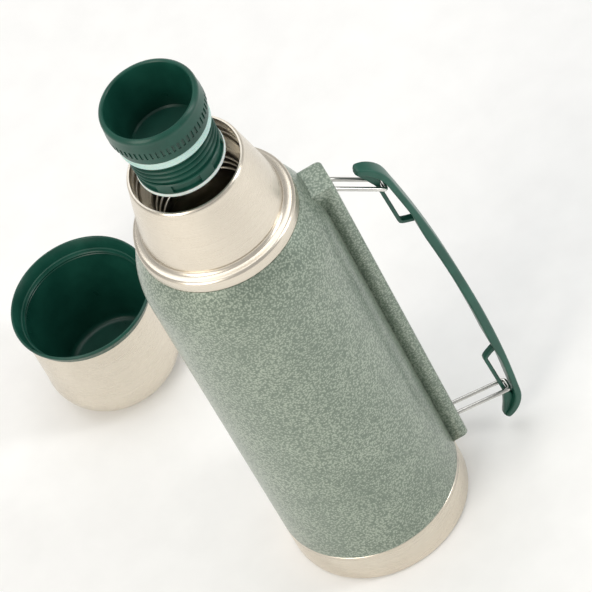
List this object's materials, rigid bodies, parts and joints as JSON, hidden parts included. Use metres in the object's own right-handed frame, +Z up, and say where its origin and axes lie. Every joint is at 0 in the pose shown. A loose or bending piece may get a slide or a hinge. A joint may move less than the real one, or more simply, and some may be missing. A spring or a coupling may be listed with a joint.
{
  "type": "vacuum flask",
  "caption": "Double-walled steel vacuum flask with a hammered paint body, folding wire and bar handle, screw stopper lifted out above the mouth, and an insulated cup stood beside it",
  "frame": {"origin": "centre of the foot that the flask stands on", "axes": "+Z up along the flask's axis, +X towards the handle"},
  "size_m": [0.236, 0.2772, 0.387],
  "materials": {
    "hammer_paint": "hammered gloss",
    "bare_steel": "satin",
    "wire_steel": "plated",
    "green_plastic": "semi-matt",
    "pale_seal": "matt",
    "copper_foil": "bright foil",
    "foam": "foam"
  },
  "bodies": {
    "flask": {"base_cap": "bare_steel", "outer_shell": "hammer_paint", "neck_ring": "bare_steel", "neck_cone": "bare_steel", "inner_vessel": "bare_steel", "foil_wrap": "copper_foil", "bottom_plate": "bare_steel", "vacuum_seal": "bare_steel", "getter": "bare_steel", "handle_rail": "hammer_paint", "lower_hinge_eye": "wire_steel", "upper_hinge_eye": "wire_steel"},
    "lower_bail": {"lower_bail": "wire_steel"},
    "upper_bail": {"upper_bail": "wire_steel"},
    "grip": {"grip_bar": "green_plastic"},
    "stopper_lift": {"stopper_core": "foam"},
    "stopper": {"stopper_plug": "green_plastic", "stopper_base": "green_plastic", "stopper_bottom_seal": "pale_seal", "stopper_upper_seal": "pale_seal", "stopper_collar": "green_plastic"},
    "cup": {"cup_shell": "bare_steel", "cup_liner": "green_plastic", "cup_foam": "foam"}
  },
  "joints": [
    {"name": "lower_bail_swing", "type": "hinge", "parent": "flask", "child": "lower_bail", "pos_m": [0.06, 0, 0.0385], "axis": [0, -1, 0], "range_deg": [0, 16]},
    {"name": "upper_bail_swing", "type": "hinge", "parent": "flask", "child": "upper_bail", "pos_m": [0.06, 0, 0.2595], "axis": [0, -1, 0], "range_deg": [-18.9, 0]},
    {"name": "grip_tilt", "type": "hinge", "parent": "lower_bail", "child": "grip", "pos_m": [0.09457, 0, 0.03302], "axis": [0, -1, 0], "range_deg": [-13, 0]},
    {"name": "stopper_rise", "type": "slide", "parent": "flask", "child": "stopper_lift", "axis": [0, 0, 1], "range_m": [-0.05, 0]},
    {"name": "stopper_turn", "type": "hinge", "parent": "stopper_lift", "child": "stopper", "pos_m": [0, 0, 0.335], "axis": [0, 0, 1], "range_deg": [-2005, 0]},
    {"name": "cup_lift", "type": "slide", "parent": "flask", "child": "cup", "axis": [0, 0, 1], "range_m": [0, 0.12]}
  ],
  "couplings": [
    {"joint": "upper_bail_swing", "follows": "lower_bail_swing", "ratio": -1.1765},
    {"joint": "grip_tilt", "follows": "lower_bail_swing", "ratio": -0.81021},
    {"joint": "stopper_turn", "follows": "stopper_rise", "rad_per_m": 698.13}
  ]
}
